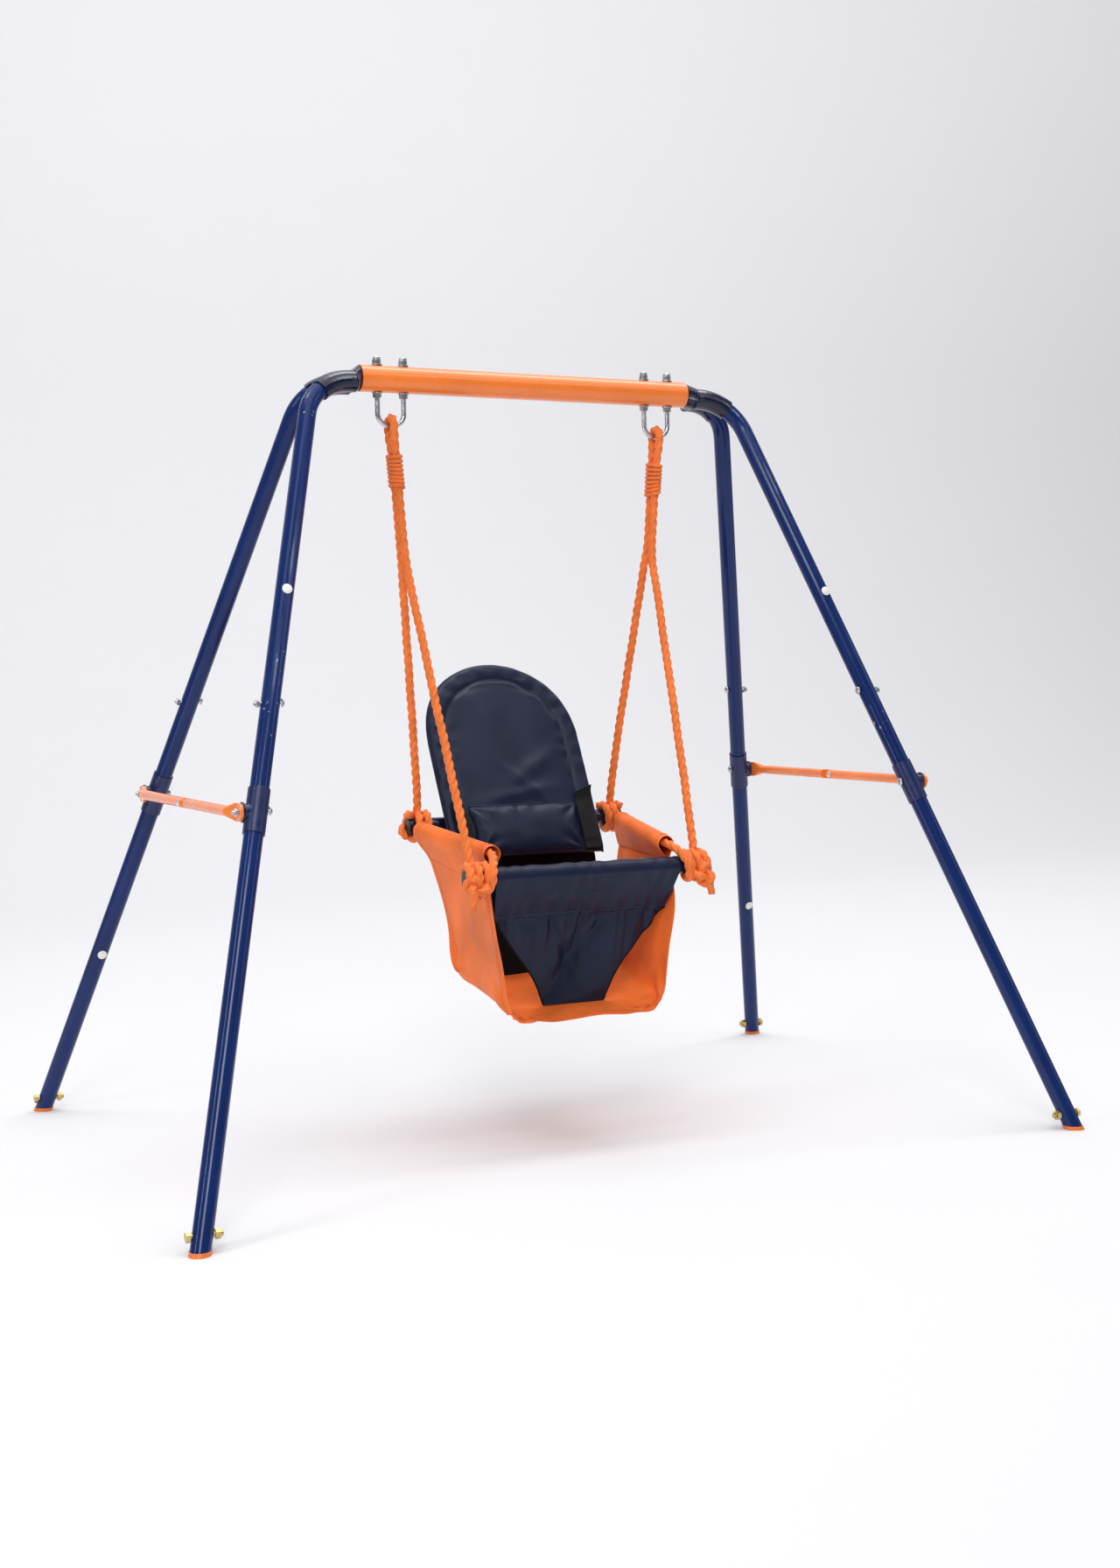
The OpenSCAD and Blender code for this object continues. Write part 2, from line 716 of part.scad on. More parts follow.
saddle(left, rear);  // brace_saddle_rear_left
saddle_plate(left, rear);  // saddle_plate_rear_left
anchor_bolt(left, rear);  // anchor_bolt_rear_left
upper_leg(right, rear);  // upper_leg_rear_right
lower_leg(right, rear);  // lower_leg_rear_right
foot_plug(right, rear);  // foot_plug_rear_right
hole_plug(right, rear);  // hole_plug_rear_right
leg_bolts(right, rear);  // leg_bolts_rear_right
saddle(right, rear);  // brace_saddle_rear_right
saddle_plate(right, rear);  // saddle_plate_rear_right
anchor_bolt(right, rear);  // anchor_bolt_rear_right
brace_front(left);  // brace_front_left
brace_rivet(left);  // brace_rivet_left
brace_rear(left);  // brace_rear_left
brace_end_nut(left);  // brace_end_nut_left
brace_front(right);  // brace_front_right
brace_rivet(right);  // brace_rivet_right
brace_rear(right);  // brace_rear_right
brace_end_nut(right);  // brace_end_nut_right
front_bar();
rear_bar();
bar_end_caps();
side_sling();
front_panel();
backrest_pad();
backrest_board();
lumbar_pad();
seat_back_panel();
webbing_straps();
rope(left);  // rope_left
rope(right);  // rope_right
rope_seizings();
front_knots();
rear_knots();
sleeve_ropes();
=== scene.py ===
import json
import math

import bpy
from mathutils import Matrix, Vector, noise


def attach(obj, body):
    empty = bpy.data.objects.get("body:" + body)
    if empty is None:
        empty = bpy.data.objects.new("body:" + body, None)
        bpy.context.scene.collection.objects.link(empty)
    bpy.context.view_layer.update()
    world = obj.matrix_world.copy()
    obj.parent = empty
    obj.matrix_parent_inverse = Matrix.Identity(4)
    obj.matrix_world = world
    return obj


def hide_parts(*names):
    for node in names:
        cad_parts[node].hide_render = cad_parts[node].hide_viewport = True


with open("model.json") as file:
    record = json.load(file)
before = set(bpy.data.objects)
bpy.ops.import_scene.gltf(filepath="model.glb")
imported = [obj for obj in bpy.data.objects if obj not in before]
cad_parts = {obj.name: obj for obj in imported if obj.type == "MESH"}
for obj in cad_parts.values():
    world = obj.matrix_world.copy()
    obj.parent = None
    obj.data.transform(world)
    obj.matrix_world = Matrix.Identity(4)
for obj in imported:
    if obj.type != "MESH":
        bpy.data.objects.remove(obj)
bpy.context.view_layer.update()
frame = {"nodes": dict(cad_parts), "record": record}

MM = 0.001
LEFT, RIGHT = -1, 1
SIDES = ((LEFT, "left"), (RIGHT, "right"))
BODY_SEAT = "seat"


# ---------------------------------------------------------------- camera
CAMERA_AT = (-1.389, -2.953, 0.740)
CAMERA_TURN = (25.96, 3.25, -0.88)      # azimuth, drop and roll, in degrees
CAMERA_LENS = 45.78


def make_camera():
    azimuth, drop, roll = (math.radians(a) for a in CAMERA_TURN)
    level = math.cos(drop)
    forward = Vector((math.sin(azimuth) * level, math.cos(azimuth) * level, -math.sin(drop)))
    right = forward.cross(Vector((0, 0, 1))).normalized()
    up = right.cross(forward)
    tilted_right = math.cos(roll) * right + math.sin(roll) * up
    tilted_up = -math.sin(roll) * right + math.cos(roll) * up
    data = bpy.data.cameras.new("camera")
    data.sensor_fit = "VERTICAL"
    data.sensor_height = 36
    data.lens = CAMERA_LENS
    camera = bpy.data.objects.new("camera", data)
    bpy.context.scene.collection.objects.link(camera)
    turn = Matrix((tilted_right, tilted_up, -forward)).transposed().to_4x4()
    camera.matrix_world = Matrix.Translation(CAMERA_AT) @ turn
    bpy.context.scene.camera = camera


make_camera()


# ---------------------------------------------------------------- materials
class Nodes:
    """A material's node tree, with short calls for the few node kinds used here."""

    def __init__(self, name, color, roughness, metallic=0.0, **fixed):
        self.mat = bpy.data.materials.new(name)
        self.mat.use_nodes = True
        self.tree = self.mat.node_tree
        self.shader = self.tree.nodes["Principled BSDF"]
        self.set(self.shader, "Base Color", (*color, 1))
        self.set(self.shader, "Roughness", roughness)
        self.set(self.shader, "Metallic", metallic)
        for key, value in fixed.items():
            self.set(self.shader, key.replace("_", " "), value)
        self.coords = self.tree.nodes.new("ShaderNodeTexCoord").outputs["Object"]
        self.height = None

    @staticmethod
    def set(node, key, value):
        node.inputs[key].default_value = value

    def link(self, a, b):
        self.tree.links.new(a, b)

    def noise(self, scale, detail=3.0, rough=0.5, stretch=(1, 1, 1)):
        node = self.tree.nodes.new("ShaderNodeTexNoise")
        self.set(node, "Scale", scale)
        self.set(node, "Detail", detail)
        self.set(node, "Roughness", rough)
        self.link(self.mapped(stretch), node.inputs["Vector"])
        return node.outputs["Fac"]

    def mapped(self, stretch, turn=(0, 0, 0)):
        node = self.tree.nodes.new("ShaderNodeMapping")
        self.set(node, "Scale", stretch)
        self.set(node, "Rotation", turn)
        self.link(self.coords, node.inputs["Vector"])
        return node.outputs["Vector"]

    def wave(self, scale, axis, turn=(0, 0, 0), distortion=0.0):
        node = self.tree.nodes.new("ShaderNodeTexWave")
        node.bands_direction = axis
        self.set(node, "Scale", scale)
        self.set(node, "Distortion", distortion)
        self.link(self.mapped((1, 1, 1), turn), node.inputs["Vector"])
        return node.outputs["Fac"]

    def ramp(self, value, stops):
        node = self.tree.nodes.new("ShaderNodeValToRGB")
        while len(node.color_ramp.elements) < len(stops):
            node.color_ramp.elements.new(0.5)
        for element, (place, color) in zip(node.color_ramp.elements, stops):
            element.position = place
            element.color = (*color, 1)
        self.link(value, node.inputs["Fac"])
        return node.outputs["Color"]

    def range(self, value, low, high, to_low, to_high):
        node = self.tree.nodes.new("ShaderNodeMapRange")
        names = ("From Min", "From Max", "To Min", "To Max")
        for key, number in zip(names, (low, high, to_low, to_high)):
            self.set(node, key, number)
        self.link(value, node.inputs["Value"])
        return node.outputs["Result"]

    def math(self, how, a, b):
        node = self.tree.nodes.new("ShaderNodeMath")
        node.operation = how
        for socket, value in zip(node.inputs, (a, b)):
            if isinstance(value, (int, float)):
                socket.default_value = value
            else:
                self.link(value, socket)
        return node.outputs[0]

    def color(self, value, stops):
        self.link(self.ramp(value, stops), self.shader.inputs["Base Color"])

    def roughness(self, value, low, high, to_low, to_high):
        self.link(self.range(value, low, high, to_low, to_high), self.shader.inputs["Roughness"])

    def bump(self, value, strength, distance):
        node = self.tree.nodes.new("ShaderNodeBump")
        self.set(node, "Strength", strength)
        self.set(node, "Distance", distance)
        self.link(value, node.inputs["Height"])
        if self.height is not None:
            self.link(self.height, node.inputs["Normal"])
        self.height = node.outputs["Normal"]
        self.link(self.height, self.shader.inputs["Normal"])


def shade(color, k):
    return tuple(c * k for c in color)


def paint(name, color, roughness=0.2, chips=None, coat=0.3, level=0.4):
    """Glossy powder coat: faint orange peel, uneven gloss, and small chips where `chips` is a colour."""
    n = Nodes(name, color, roughness, Coat_Weight=coat, Coat_Roughness=0.05, Specular_IOR_Level=level)
    tone = n.noise(9.0, 4.0)
    stops = [(0.3, shade(color, 0.88)), (0.7, shade(color, 1.1))]
    base = n.ramp(tone, stops)
    if chips:
        speck = n.noise(150.0, 2.0, stretch=(1, 1, 0.55))
        where = n.noise(6.0, 2.0)
        mask = n.range(n.math("MULTIPLY", speck, where), 0.452, 0.47, 0.0, 1.0)
        mix = n.tree.nodes.new("ShaderNodeMix")
        mix.data_type = "RGBA"
        n.link(mask, mix.inputs["Factor"])
        n.link(base, mix.inputs["A"])
        mix.inputs["B"].default_value = (*chips, 1)
        base = mix.outputs["Result"]
    n.link(base, n.shader.inputs["Base Color"])
    n.roughness(n.noise(35.0, 4.0), 0.3, 0.7, roughness * 0.75, roughness * 1.35)
    n.bump(n.noise(420.0, 2.0), 0.12, 0.0003)
    return n.mat


def plated(name, color, roughness=0.24):
    """Zinc-plated steel with a fine grain and dull patches."""
    n = Nodes(name, color, roughness, metallic=1.0)
    n.color(n.noise(90.0, 4.0), [(0.3, shade(color, 0.75)), (0.7, shade(color, 1.05))])
    n.roughness(n.noise(160.0, 3.0), 0.3, 0.7, roughness * 0.7, roughness * 1.6)
    n.bump(n.noise(1400.0, 2.0), 0.15, 0.0002)
    return n.mat


def moulded(name, color, roughness=0.35):
    """Moulded plastic with a fine grain."""
    n = Nodes(name, color, roughness)
    n.color(n.noise(30.0, 3.0), [(0.3, shade(color, 0.9)), (0.7, shade(color, 1.08))])
    n.roughness(n.noise(80.0, 3.0), 0.3, 0.7, roughness * 0.8, roughness * 1.3)
    n.bump(n.noise(900.0, 2.0), 0.2, 0.0002)
    return n.mat


def band_scale(pitch):
    """Scale of a wave texture whose bands lie `pitch` metres apart."""
    return math.pi * 2 / (20 * pitch)


def woven(name, color, thread, roughness=0.6, sheen=0.3, cross="X", contrast=0.18, gloss=None, level=0.3):
    """Plain weave: two crossed sets of threads, `thread` metres apart, over slow changes of tone."""
    n = Nodes(name, color, roughness, Sheen_Weight=sheen, Sheen_Roughness=0.4, Specular_IOR_Level=level)
    warp = n.wave(band_scale(thread), "Z")
    weft = n.wave(band_scale(thread), cross)
    both = n.math("MAXIMUM", warp, weft)
    slow = n.math("MULTIPLY", n.noise(14.0, 4.0), 1 - contrast)
    tone = n.math("ADD", n.math("MULTIPLY", both, contrast), slow)
    n.color(tone, [(0.3, shade(color, 0.78)), (0.72, shade(color, 1.16))])
    if gloss:
        n.roughness(n.noise(22.0, 3.0), 0.35, 0.7, roughness, gloss)
    n.bump(both, 0.22, 0.0003)
    n.bump(n.noise(60.0, 3.0), 0.25, 0.0010)
    return n.mat


def ribbed(name, color, pitch):
    """Webbing: raised ribs along its length and a coarse cross weave."""
    n = Nodes(name, color, 0.7, Sheen_Weight=0.08, Sheen_Roughness=0.5, Specular_IOR_Level=0.2)
    ribs = n.wave(band_scale(pitch), "X")
    picks = n.wave(band_scale(pitch) * 0.8, "Z")
    both = n.math("ADD", n.math("MULTIPLY", ribs, 0.6), n.math("MULTIPLY", picks, 0.4))
    n.color(both, [(0.2, shade(color, 0.6)), (0.8, shade(color, 1.6))])
    n.bump(both, 0.7, 0.0006)
    return n.mat


def fibre(name, color):
    """Twisted fibre rope: fine hairs across the strands."""
    n = Nodes(name, color, 0.62, Sheen_Weight=0.2, Sheen_Roughness=0.4, Specular_IOR_Level=0.3)
    hairs = n.noise(900.0, 3.0, 0.6, (1, 1, 0.35))
    tone = n.math("ADD", n.math("MULTIPLY", hairs, 0.6), n.math("MULTIPLY", n.noise(40.0, 3.0), 0.4))
    n.color(tone, [(0.32, shade(color, 0.72)), (0.66, shade(color, 1.15))])
    n.bump(hairs, 0.5, 0.0006)
    return n.mat


ORANGE = (0.93, 0.215, 0.026)
CLOTH_ORANGE = (0.93, 0.185, 0.026)
NAVY = (0.0045, 0.021, 0.118)
NAVY_CLOTH = (0.0105, 0.0160, 0.042)
CHIPPED = (0.25, 0.27, 0.36)
MATERIALS = {
    "orange_powder_coat": paint("orange_powder_coat", ORANGE, 0.32, coat=0.7),
    "dark_navy_powder_coat": paint("dark_navy_powder_coat", (0.0035, 0.006, 0.030), 0.16),
    "navy_powder_coat": paint("navy_powder_coat", NAVY, 0.17, chips=CHIPPED, coat=0.2, level=0.22),
    "orange_plastic": moulded("orange_plastic", (0.85, 0.20, 0.04)),
    "white_plastic": moulded("white_plastic", (0.82, 0.82, 0.79)),
    "navy_plastic": moulded("navy_plastic", (0.008, 0.018, 0.09), 0.3),
    "grey_plastic": moulded("grey_plastic", (0.028, 0.03, 0.036), 0.45),
    "yellow_zinc": plated("yellow_zinc", (0.68, 0.52, 0.22), 0.3),
    "rivet_metal": plated("rivet_metal", (0.86, 0.84, 0.80), 0.3),
    "zinc_steel": plated("zinc_steel", (0.66, 0.67, 0.70)),
    "seat_bar_paint": paint("seat_bar_paint", (0.006, 0.009, 0.034), 0.14),
    "black_plastic": moulded("black_plastic", (0.012, 0.012, 0.015)),
    "orange_canvas": woven("orange_canvas", CLOTH_ORANGE, 0.0014, 0.6, 0.10, "Y", 0.08),
    "navy_nylon": woven("navy_nylon", NAVY_CLOTH, 0.0013, 0.38, 0.0, "X", 0.08, gloss=0.28, level=0.2),
    "black_fabric": woven("black_fabric", (0.006, 0.006, 0.008), 0.0012, 0.75, 0.04, level=0.15),
    "black_webbing": ribbed("black_webbing", (0.006, 0.006, 0.007), 0.0018),
    "stiffener_board": moulded("stiffener_board", (0.4, 0.3, 0.18), 0.6),
    "orange_rope": fibre("orange_rope", (0.93, 0.205, 0.035)),
    "seam_thread": moulded("seam_thread", (0.035, 0.036, 0.042), 0.5),
    "navy_thread": moulded("navy_thread", (0.022, 0.027, 0.055), 0.5),
    "orange_thread": moulded("orange_thread", (0.78, 0.13, 0.03), 0.5),
}
# thread looks and the record's slots that they belong to
THREAD_OF = {
    "seam_thread": "black_fabric",
    "navy_thread": "navy_nylon",
    "orange_thread": "orange_canvas",
}


# ---------------------------------------------------------------- mesh helpers
def place(name, verts, faces, slot, smooth=True, body=BODY_SEAT):
    look, slot = MATERIALS[slot], THREAD_OF.get(slot, slot)
    mesh = bpy.data.meshes.new(name)
    mesh.from_pydata([tuple(v) for v in verts], [], faces)
    mesh.validate()
    mesh.update()
    mesh.polygons.foreach_set("use_smooth", [smooth] * len(mesh.polygons))
    mesh.materials.append(look)
    obj = bpy.data.objects.new(name, mesh)
    bpy.context.scene.collection.objects.link(obj)
    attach(obj, body)
    return obj


def grid_faces(rows, cols, close_cols=False, close_rows=False, start=0):
    faces = []
    for i in range(rows if close_rows else rows - 1):
        for j in range(cols if close_cols else cols - 1):
            a, b = i * cols, (i + 1) % rows * cols
            k = (j + 1) % cols
            faces.append((start + a + j, start + a + k, start + b + k, start + b + j))
    return faces


def smooth_line(points, step):
    """A Catmull-Rom curve through the points, resampled about `step` apart."""
    pts = [Vector(p) for p in points]
    fine = []
    for i in range(len(pts) - 1):
        p0, p1, p2, p3 = pts[max(i - 1, 0)], pts[i], pts[i + 1], pts[min(i + 2, len(pts) - 1)]
        for k in range(12):
            t = k / 12
            fine.append(0.5 * (2 * p1 + (p2 - p0) * t + (2 * p0 - 5 * p1 + 4 * p2 - p3) * t * t
                + (3 * p1 - p0 - 3 * p2 + p3) * t ** 3))
    fine.append(pts[-1])
    return even(fine, step)


def even(points, step):
    lengths = [0.0]
    for a, b in zip(points, points[1:]):
        lengths.append(lengths[-1] + (b - a).length)
    count = max(2, round(lengths[-1] / step))
    out, k = [], 0
    for i in range(count + 1):
        s = lengths[-1] * i / count
        while k < len(points) - 2 and lengths[k + 1] < s:
            k += 1
        span = max(lengths[k + 1] - lengths[k], 1e-9)
        out.append(points[k].lerp(points[k + 1], min(max((s - lengths[k]) / span, 0), 1)))
    return out


def line_length(points):
    return sum((b - a).length for a, b in zip(points, points[1:]))


def sweep(points, ring, count, closed=False):
    """Rings of `count` points along a line; ring(i, angle) gives the radius."""
    verts, tangents = [], []
    n = len(points)
    for i in range(n):
        a = points[(i - 1) % n] if closed else points[max(i - 1, 0)]
        b = points[(i + 1) % n] if closed else points[min(i + 1, n - 1)]
        tangents.append((b - a).normalized())
    side = tangents[0].orthogonal().normalized()
    for i in range(n):
        side = (side - side.dot(tangents[i]) * tangents[i]).normalized()
        other = tangents[i].cross(side)
        for j in range(count):
            angle = 2 * math.pi * j / count
            out = math.cos(angle) * side + math.sin(angle) * other
            verts.append(points[i] + ring(i, angle) * out)
    faces = grid_faces(n, count, close_cols=True, close_rows=closed)
    if not closed:
        faces.append(tuple(range(count))[::-1])
        faces.append(tuple(range((n - 1) * count, n * count)))
    return verts, faces


ROPE_D = 14 * MM
STRANDS = 3
LAY_PITCH = 46 * MM
ROPE_STEP = 2.4 * MM


def rope_ring(diameter, step, phase=0.0, pitch=LAY_PITCH):
    """Outline of a three-strand rope, whose strands turn once in each pitch."""
    strand, out = 0.262 * diameter, 0.243 * diameter

    def ring(i, angle):
        a = (angle - phase - 2 * math.pi * i * step / pitch) % (2 * math.pi / STRANDS)
        a = min(a, 2 * math.pi / STRANDS - a)
        reach = out * math.cos(a) + math.sqrt(max(strand ** 2 - (out * math.sin(a)) ** 2, 0))
        return max(reach, 0.362 * diameter)
    return ring


def rope(name, points, diameter=ROPE_D, phase=0.0, closed=False, node=()):
    step = line_length(points) / (len(points) - 1)
    verts, faces = sweep(points, rope_ring(diameter, step, phase), 24, closed)
    obj = place(name, verts, faces, "orange_rope")
    if node:
        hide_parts(*node)
    return obj


def merge(parts):
    verts, faces = [], []
    for v, f in parts:
        base = len(verts)
        verts += v
        faces += [tuple(base + k for k in face) for face in f]
    return verts, faces


def flip(side, points):
    return [Vector((side * p[0], p[1], p[2])) * MM for p in points]


# ---------------------------------------------------------------- ropes
ROPE = [
    (195, -186, 446), (197, -173, 485), (199, -159, 524), (202, -145, 563), (204, -130, 602),
    (206, -116, 641), (209, -101, 680), (211, -86, 720), (213, -71, 760), (215, -56, 800),
    (218, -41, 840), (220, -26, 880), (221, -13, 915), (223, -8, 950), (226, -7.4, 990),
    (229, -7.4, 1030), (232, -7.4, 1070), (234, -8.6, 1092), (236, -11.4, 1110),
    (237, -12.6, 1128), (237, -9, 1137), (237, 0, 1140.6), (237, 9, 1137), (237, 12.6, 1128),
    (236, 11.4, 1110), (234, 8.6, 1092), (232, 7.4, 1070), (229, 7.4, 1030), (226, 7.4, 990),
    (223, 8, 950), (218, 14, 910), (214, 20, 870), (209, 26, 830), (205, 32, 790), (200, 38, 750),
    (196, 44, 710), (191, 50, 670), (187, 56, 630), (183, 61, 590), (179, 66, 550), (177, 71, 512),
]
SLEEVE_ROPE = [
    (182, 50, 488), (176, 5, 481), (168, -50, 475), (160, -110, 469), (154, -160, 464),
    (156, -182, 459), (163, -200, 449), (169, -212, 433), (172, -210, 416), (176, -201, 408),
]
FRONT_BAR = (-190, 427)
REAR_BAR = (72, 490)
WRAP_R = 20.4
WRAP_PITCH = 14.4


def wrap_points(bar, x, start, turns):
    """Round turns about a seat bar, from its top, each a rope's width from the last."""
    y0, z0 = bar
    pts = []
    steps = int(turns * 24)
    for i in range(steps + 1):
        a = math.radians(start) + 2 * math.pi * i / 24
        pts.append((x + WRAP_PITCH * i / 24, y0 + WRAP_R * math.cos(a), z0 + WRAP_R * math.sin(a)))
    return pts


def knot_points(center, size, tilt):
    """A trefoil knot, closed on itself."""
    pts = []
    turn = Matrix.Rotation(math.radians(tilt[0]), 3, "X") @ Matrix.Rotation(math.radians(tilt[1]), 3, "Z")
    for i in range(72):
        t = 2 * math.pi * i / 72
        x = math.sin(t) + 2 * math.sin(2 * t)
        y = math.cos(t) - 2 * math.cos(2 * t)
        pts.append(Vector(center) + turn @ (Vector((x, y, -1.35 * math.sin(3 * t))) * size))
    return pts


def even_loop(points):
    return even(list(points) + [points[0]], ROPE_STEP)[:-1]


SERVING_TURNS, SERVING_LOW, SERVING_PITCH = 8, 1034, 6.6
SERVING_D, SERVING_LAY = 6.8 * MM, 22 * MM


def serving_rings(side):
    """The turns of thin cord that bind the two falls of a rope together below its U-bolt."""
    rings = []
    for k in range(SERVING_TURNS):
        z = SERVING_LOW + SERVING_PITCH * k
        x = 226 + (z - 990) * 0.075
        wide = 16.2 + 0.6 * math.sin(k * 2.1)
        loop = []
        for i in range(48):
            a = 2 * math.pi * i / 48
            loop.append((x + 9.0 * math.sin(a), wide * math.cos(a), z + 2.2 * math.sin(a + 0.3 * k)))
        loop = even_loop(flip(side, loop))
        step = line_length(loop) / len(loop)
        rings.append(sweep(loop, rope_ring(SERVING_D, step, k, SERVING_LAY), 16, True))
    return rings


FRONT_TAIL = [(195, -186, 446), (197, -194, 440), (200, -206, 430), (198, -212, 418)]
FRONT_STUB = [(198, -212, 414), (203, -218, 402), (206, -220, 391), (207, -218, 383)]
REAR_TAIL = [(177, 71, 512), (180, 78, 506), (185, 86, 496), (187, 90, 484)]


def make_ropes():
    for side, word in SIDES:
        def curve(points):
            return smooth_line(flip(side, points), ROPE_STEP)

        def knot(center, size, tilt):
            return even_loop(flip(side, knot_points(center, size, tilt)))

        line = curve(ROPE)
        cord = rope("rope_" + word + "_cord", line, phase=0.4 * side, node=("rope_" + word,))
        front_turns = curve(wrap_points(FRONT_BAR, 172, 60, 2.35))
        front_wrap = rope("front_wrap_" + word, front_turns, node=("front_knots",))
        rear_turns = curve(wrap_points(REAR_BAR, 161, 60, 2.2))
        rear_wrap = rope("rear_wrap_" + word, rear_turns, node=("rear_knots",))
        front_loop = knot((197, -212, 414), 5.4, (70, 20))
        front_knot = rope("front_knot_" + word, front_loop, closed=True, diameter=13 * MM)
        front_tail = rope("front_tail_" + word, curve(FRONT_TAIL))
        stub = rope("front_tail_end_" + word, curve(FRONT_STUB), diameter=12.5 * MM)
        rear_loop = knot((187, 88, 482), 4.9, (20, 50))
        rear_knot = rope("rear_knot_" + word, rear_loop, closed=True, diameter=12.5 * MM)
        rear_tail = rope("rear_tail_" + word, curve(REAR_TAIL))
        serving = place("rope_serving_" + word, *merge(serving_rings(side)), "orange_rope")
        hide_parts("rope_seizings")
        line = curve(SLEEVE_ROPE)
        short = rope("sleeve_rope_" + word, line, phase=1.0, node=("sleeve_ropes",))


make_ropes()


# ---------------------------------------------------------------- cloth helpers
def lerp(a, b, t):
    return a + (b - a) * t


def bell(d, width):
    return math.exp(-(d / width) ** 2)


def rippled(p, scale, seed):
    return noise.noise(Vector(p) * scale + Vector((seed, seed * 1.7, seed * 0.3)))


def surface(name, rows, slot, thickness, nodes=(), levels=1):
    """A sheet from rows of points, given its cloth thickness by a Solidify modifier."""
    cols = len(rows[0])
    verts = [p for row in rows for p in row]
    obj = place(name, verts, grid_faces(len(rows), cols), slot)
    solid = obj.modifiers.new("cloth", "SOLIDIFY")
    solid.thickness = thickness
    solid.offset = 0
    if levels:
        sub = obj.modifiers.new("smooth", "SUBSURF")
        sub.levels = levels
        sub.render_levels = levels
    if nodes:
        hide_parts(*nodes)
    return obj


def stitches(name, line, normals, slot, length=3.4 * MM, gap=2.0 * MM, thick=0.5 * MM):
    """A row of thread stitches lying on a line of points, each a small capsule."""
    parts = []
    total = line_length(line)
    count = int(total / (length + gap))
    fine = even(line, total / (count * 4))
    for k in range(count):
        a = fine[min(4 * k, len(fine) - 1)]
        b = fine[min(4 * k + 3, len(fine) - 1)]
        along = (b - a).normalized()
        a2, b2 = a + along * gap / 2, b
        mid = (a2 + b2) / 2
        near = min(int(len(normals) * (k + 0.5) / count), len(normals) - 1)
        lift = Vector(normals[near]).normalized() * thick
        pts = [a2 - lift * 0.6, lerp(a2, b2, 0.2) + lift * 0.5, mid + lift * 0.8,
            lerp(a2, b2, 0.8) + lift * 0.5, b2 - lift * 0.6]
        parts.append(sweep(pts, lambda i, a: thick, 6))
    return place(name, *merge(parts), slot)


def row_normals(rows, i):
    """The sheet's normals along row i."""
    out = []
    row = rows[i]
    other = rows[i + 1] if i + 1 < len(rows) else rows[i - 1]
    flipped = 1 if i + 1 < len(rows) else -1
    for j in range(len(row)):
        along = row[min(j + 1, len(row) - 1)] - row[max(j - 1, 0)]
        out.append(along.cross(other[j] - row[j]).normalized() * flipped)
    return out


# ---------------------------------------------------------------- side sling
# half-outlines at the sling's front and rear edges, in mm: distance out, height above the floor
SLING_FRONT = [
    (0, 0), (55, 0), (104, 0), (127, 8), (139, 33), (147, 105), (158, 165), (160, 205), (158, 240),
]
SLING_REAR = [
    (0, 0), (57, 0), (112, 1), (132, 10), (142, 30), (149, 95), (160, 150), (172, 195), (188, 222),
]
SLING_FLOOR = (198, 242)        # height of the floor at the front and rear edges
SLEEVE_FRONT = Vector((152, -172, 462))
SLEEVE_REAR = Vector((183, 40, 485))
SLEEVE_R = 14.2
SLING_ROWS = 64
CLOTH = 1.6 * MM


def sling_column(v):
    """Half of the outline, floor to flap, at v: 0 at the front edge and 1 at the rear edge."""
    pts = []
    for k, (f, r) in enumerate(zip(SLING_FRONT, SLING_REAR)):
        y_front = -190 + 9 * max(0, k - 6)
        y_rear = 8 + 8 * max(0, k - 4)
        z = lerp(SLING_FLOOR[0] + f[1], SLING_FLOOR[1] + r[1], v)
        pts.append(Vector((lerp(f[0], r[0], v), lerp(y_front, y_rear, v), z)))
    axis = SLEEVE_FRONT.lerp(SLEEVE_REAR, v)
    loop = []
    for degrees in range(-35, 200, 18):
        a = math.radians(degrees)
        squash = 1.0 - 0.12 * math.sin(a) * (1 - v)
        loop.append(axis + SLEEVE_R * squash * Vector((math.cos(a), 0, math.sin(a))))
    seam = pts[7].lerp(pts[8], lerp(0.95, 0.25, v)) - Vector((2.6, 0, 0))
    flap = [loop[-1].lerp(seam, t) - Vector((1.5 * math.sin(math.pi * t), 0, 0)) for t in (0.33, 0.67, 1)]
    return pts + loop + flap


SLING_CORNERS = (Vector((134, -186, 208)), Vector((138, 6, 252)))


def sling_fold(p, up):
    """How far the cloth stands off its smooth shape, in mm."""
    x, y, z = p
    out = 2.6 * rippled((x * 0.016, y * 0.008, z * 0.007), 1.0, 3.1)
    out += 1.3 * rippled((x * 0.03, y * 0.028, z * 0.012), 1.0, 8.7)
    for corner in SLING_CORNERS:
        away = Vector((abs(x), y, z)) - corner
        r = away.length
        fan = math.sin(7 * math.atan2(away.z, away.y + 0.3 * away.x) + 1.2)
        out += 4.6 * fan * bell(r - 26, 34)
    out += 1.8 * math.sin(y * 0.11 + z * 0.05) * bell(z - 430, 26) * (0 if abs(x) < 120 else 1)
    return out * up


SLING_STEPS = 80                # steps up one half of each row
SLING_HEM = 23                  # step from the flap's edge, of the sleeve's seam


def sling_half_rows():
    """Smooth half-rows from the floor's middle to the flap, each with SLING_STEPS + 1 points."""
    half_rows = []
    for i in range(SLING_ROWS + 1):
        column = smooth_line(sling_column(i / SLING_ROWS), 1.0)
        n = len(column) - 1
        points = []
        for j in range(SLING_STEPS + 1):
            at = j / SLING_STEPS * n
            k = min(int(at), n - 1)
            points.append(column[k].lerp(column[k + 1], at - k))
        half_rows.append(points)
    return half_rows


